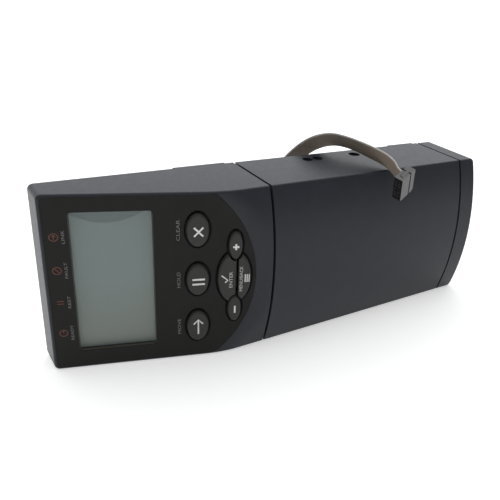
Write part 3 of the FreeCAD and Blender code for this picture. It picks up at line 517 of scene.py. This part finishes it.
# ---- legends ------------------------------------------------------------------------
INK_HEIGHT = 0.00005                   # metres
KEY_INK_DEPTH = KEY_TOP - 0.02         # depths of the inks' middle planes below the face, mm
FACE_INK_DEPTH = 0.04
WORD_HEIGHT = 0.0019                   # metres
SMALL_WORD_HEIGHT = 0.0015
INDICATOR_S = 6.4                      # along the face: the indicators' symbols and their words, mm
INDICATOR_WORD_S = 10.8
INDICATOR_MIDDLE = 0.4                 # across the face: the middle of the four, and their pitch, mm
INDICATOR_PITCH = 19.5


def face_matrix(s, c, depth):
    """Stands things on the face: their x runs up the panel's width, their y towards the end."""
    basis = Matrix((UP_Z, -SLOPE, -INTO)).transposed().to_4x4()
    return Matrix.Translation(on_face(s, c, depth)) @ basis


def word(text, width, height):
    """A word's mesh, centred, as wide and high as asked, in metres."""
    data = bpy.data.curves.new("word", "FONT")
    data.body = text
    data.extrude = 0.1
    data.resolution_u = 3
    mesh = mesh_from(new_object("word", data))
    low = [min(v.co[i] for v in mesh.vertices) for i in range(3)]
    high = [max(v.co[i] for v in mesh.vertices) for i in range(3)]
    middle = Vector([(a + b) / 2 for a, b in zip(low, high)])
    wanted = (width, height, INK_HEIGHT)
    scale = [w / (b - a) for w, a, b in zip(wanted, low, high)]
    for vertex in mesh.vertices:
        vertex.co = Vector([(v - m) * k for v, m, k in zip(vertex.co, middle, scale)])
    return mesh


def strokes(lines, width):
    """Flat strokes along lines of (x, y) points in mm; a line that ends where it starts is a loop."""
    data = bpy.data.curves.new("strokes", "CURVE")
    data.dimensions = "3D"
    data.bevel_depth = width / 2000
    data.bevel_resolution = 2
    data.use_fill_caps = True
    for line in lines:
        loop = line[0] == line[-1]
        points = line[:-1] if loop else line
        spline = data.splines.new("POLY")
        spline.points.add(len(points) - 1)
        for target, (x, y) in zip(spline.points, points):
            target.co = (x / 1000, y / 1000, 0.0, 1.0)
        spline.use_cyclic_u = loop
    mesh = mesh_from(new_object("strokes", data))
    flatten = INK_HEIGHT * 2 / (width / 1000)
    for vertex in mesh.vertices:
        vertex.co.z *= flatten
    return mesh


def ring(radius, steps=28):
    """A closed round line."""
    angles = [2 * math.pi * k / steps for k in range(steps)]
    line = [(radius * math.cos(a), radius * math.sin(a)) for a in angles]
    return line + line[:1]


def add_legend(name, mesh, place, depth, body, material):
    """Put a legend's mesh on the face, or on a key, and let it ride there."""
    mesh.transform(face_matrix(place[0], place[1], depth))
    mesh.name = name
    piece = new_object(name, mesh)
    mesh.materials.clear()
    mesh.materials.append(material)
    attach(piece, body)


def mark_keys(white, soft):
    """The keys' symbols, and the words on the two halves of the cluster."""
    cross = [[(-2.7, -2.5), (2.7, 2.5)], [(-2.7, 2.5), (2.7, -2.5)]]
    bars = [[(-1.5, -3.5), (-1.5, 3.5)], [(1.5, -3.5), (1.5, 3.5)]]
    arrow = [[(-5.0, 0.0), (4.6, 0.0)], [(1.9, 2.7), (4.8, 0.0), (1.9, -2.7)]]
    plus = [[(-1.9, 0.0), (1.9, 0.0)], [(0.0, -1.8), (0.0, 1.8)]]
    minus = [[(-2.4, 0.0), (2.4, 0.0)]]
    tick = [[(-2.2, -0.2), (-0.7, -1.7), (2.5, 1.9)]]
    rows = [[(-2.6, y), (2.6, y)] for y in (-1.15, 0.0, 1.15)]
    marks = (
        ("key_clear", cross, 1.05, (79.5, 30.4)), ("key_hold", bars, 1.2, (79.5, -0.9)),
        ("key_move", arrow, 0.9, (79.3, -31.2)), ("key_plus", plus, 1.2, (100.5, 20.2)),
        ("key_minus", minus, 1.05, (100.6, -21.1)), ("key_enter", tick, 0.8, (94.4, -0.3)),
        ("key_menu", rows, 0.6, (107.4, -0.3)))
    for key, lines, width, place in marks:
        add_legend("mark_" + key, strokes(lines, width), place, KEY_INK_DEPTH, key + "_body", white)
    words = (("enter", "ENTER", 0.0104, (97.9, -0.8)), ("menu", "MENU/BACK", 0.0166, (103.9, -0.6)))
    for name, text, width, place in words:
        add_legend("word_" + name, word(text, width, WORD_HEIGHT), place, KEY_INK_DEPTH,
                   "key_" + name + "_body", soft)


def name_keys(grey):
    """The words beside the three large keys."""
    words = (("CLEAR", 12.6, (68.6, 31.0)), ("HOLD", 10.0, (68.6, 0.0)), ("MOVE", 10.4, (68.6, -31.0)))
    for text, width, place in words:
        add_legend("word_" + text.lower(), word(text, width / 1000, WORD_HEIGHT), place, FACE_INK_DEPTH,
                   "root", grey)


def mark_indicators(amber, grey):
    """The four indicators' symbols and words, from the panel's upper side down."""
    round_arrow = [ring(2.1), [(-1.2, 0.0), (1.2, 0.0)], [(0.2, 0.9), (1.3, 0.0), (0.2, -0.9)]]
    barred = [ring(2.1), [(-1.1, -1.1), (1.1, 1.1)]]
    two_bars = [[(-0.8, -1.7), (-0.8, 1.7)], [(0.8, -1.7), (0.8, 1.7)]]
    dial = [ring(2.0), [(0.0, 0.0), (1.6, 0.0)]]
    marks = (("LINK", round_arrow, 1.5), ("FAULT", barred, 0.5), ("REST", two_bars, -0.5),
             ("READY", dial, -1.5))
    for text, lines, step in marks:
        name = text.lower()
        c = INDICATOR_MIDDLE + INDICATOR_PITCH * step
        add_legend("indicator_" + name, strokes(lines, 0.55), (INDICATOR_S, c), FACE_INK_DEPTH, "root", amber)
        width = WORD_HEIGHT * len(text)
        add_legend("word_" + name, word(text, width, SMALL_WORD_HEIGHT), (INDICATOR_WORD_S, c),
                   FACE_INK_DEPTH, "root", grey)


def make_legends():
    """Key symbols, the words beside the keys and the four indicator symbols."""
    white = printed("white_ink", (0.80, 0.80, 0.79))
    soft = printed("soft_ink", (0.55, 0.55, 0.54))
    grey = printed("grey_ink", (0.17, 0.17, 0.165))
    amber = printed("amber_ink", (0.14, 0.042, 0.024))
    mark_keys(white, soft)
    name_keys(grey)
    mark_indicators(amber, grey)


# ---- carried-over nodes -------------------------------------------------------------
def paint(material, *names):
    """Give CAD nodes a finished material."""
    for name in names:
        for holder in NODES[name].material_slots:
            holder.material = material


def paint_nodes():
    """Materials for every CAD node."""
    housing = moulded("housing_plastic_fine", (0.0290, 0.0312, 0.0380), 0.36, grain=2300.0, strength=0.18,
                      specular=0.19)
    paint(housing, "display_housing", "front_cover", "end_cap")
    paint(moulded("overlay_film_satin", (0.0152, 0.0144, 0.0135), 0.45, grain=3000.0,
                  grain_depth=0.00001, specular=0.13), "face_overlay")
    paint(moulded("key_coat", (0.036, 0.035, 0.0325), 0.5, grain=2600.0, grain_depth=0.00001,
                  specular=0.25), *KEYS)
    paint(clear_material(), "window_lens", "light_pipes")
    paint(display_material(), "lcd_glass")
    paint(moulded("foam", (0.012, 0.012, 0.012), 0.9, grain=900.0, grain_depth=0.0001, strength=0.6),
          "lcd_gasket")
    paint(metal("zinc_sheet", (0.36, 0.365, 0.375), 0.38, (1.0, 1.0, 14.0)), "rear_frame", "lcd_bezel")
    paint(metal("screw_plate", (0.5, 0.5, 0.51), 0.3, (1.0, 12.0, 1.0)), "frame_screws", "control_screws",
          "keypad_screws", "spacer_screws")
    paint(metal("brass_turned", (0.66, 0.5, 0.24), 0.3, (1.0, 1.0, 1.0)), "board_spacers",
          "board_header_pins", "board_plug_contacts", "far_plug_contacts")
    paint(metal("can_sleeve", (0.7, 0.7, 0.71), 0.25, (1.0, 1.0, 1.0)), "board_capacitors")
    paint(board_material(), "control_board", "keypad_board", "lcd_board")
    paint(moulded("black_moulding", (0.014, 0.014, 0.015), 0.5, grain=2000.0), "board_chips",
          "board_sounder", "board_header", "lcd_header", "keypad_link")
    paint(moulded("white_moulding", (0.75, 0.76, 0.72), 0.4, grain=2000.0, vary=0.04), "lcd_backlight",
          "indicator_leds")
    paint(moulded("silicone", (0.2, 0.2, 0.2), 0.6, grain=1500.0), "keypad_mat")
    paint(plug_material(), "far_plug_body", "far_plug_cover", "far_plug_relief", "board_plug_body",
          "board_plug_cover")


# ---- surroundings -------------------------------------------------------------------
SKY = (0.95, 0.975, 1.0, 1.0)
DIM_SIDE = 0.03                        # strength of the surroundings in front of the object
BRIGHT_SIDE = 1.25                     # and behind it
BRIGHT_WAY = (0.45, 0.89, 0.0)
BRIGHT_RISE = (-0.15, 0.9)             # cosines of the angles from that way between which it rises
DOME_ENERGY = 2.0
DOME_SPREAD = 110                      # degrees
DOME_WAY = (0.05, -0.12, -1.0)
FLOOR_REACH = 6.0                      # metres
FLOOR_GLOW = 0.4


def make_floor():
    """A wide pale floor with a glow of its own, as a light table has."""
    mesh = bmesh.new()
    bmesh.ops.create_grid(mesh, x_segments=8, y_segments=8, size=FLOOR_REACH)
    floor = piece_from_bmesh("floor", mesh)
    recipe = Recipe("floor").set(Specular_IOR_Level=0.2)
    recipe.link(recipe.colours(recipe.noise(3.0), (0.0, (0.9, 0.9, 0.9)), (1.0, (0.93, 0.93, 0.93))),
                "Base Color")
    recipe.set(Roughness=0.8, Emission_Color=(1.0, 1.0, 1.0, 1.0), Emission_Strength=FLOOR_GLOW)
    floor.data.materials.append(recipe.material)


def make_light():
    """A studio that is bright overhead and behind the object, and dim on the side in front.

    It looks nearly white on every side, because the dim part only holds for the light that it gives.
    """
    world = bpy.data.worlds.new("studio")
    world.use_nodes = True
    tree = world.node_tree
    back = tree.nodes["Background"]
    back.inputs["Color"].default_value = SKY
    place = tree.nodes.new("ShaderNodeTexCoord")
    behind = tree.nodes.new("ShaderNodeVectorMath")
    behind.operation = "DOT_PRODUCT"
    behind.inputs[1].default_value = BRIGHT_WAY
    tree.links.new(place.outputs["Generated"], behind.inputs[0])
    level = tree.nodes.new("ShaderNodeMapRange")
    set_inputs(level, {"From Min": BRIGHT_RISE[0], "From Max": BRIGHT_RISE[1], "To Min": DIM_SIDE,
                       "To Max": BRIGHT_SIDE})
    tree.links.new(behind.outputs["Value"], level.inputs["Value"])
    rays = tree.nodes.new("ShaderNodeLightPath")
    shown = tree.nodes.new("ShaderNodeMath")
    shown.operation = "MAXIMUM"
    tree.links.new(level.outputs["Result"], shown.inputs[0])
    tree.links.new(rays.outputs["Is Camera Ray"], shown.inputs[1])
    tree.links.new(shown.outputs["Value"], back.inputs["Strength"])
    bpy.context.scene.world = world
    data = bpy.data.lights.new("dome", "SUN")
    data.energy = DOME_ENERGY
    data.angle = math.radians(DOME_SPREAD)
    dome = new_object("dome", data)
    dome.rotation_euler = Vector(DOME_WAY).to_track_quat("-Z", "Y").to_euler()
    bpy.context.scene.view_settings.view_transform = "Standard"


# ---- run ----------------------------------------------------------------------------
make_camera()
make_ribbon()
paint_nodes()
make_window_trim()
make_board_details()
make_legends()
make_floor()
make_light()
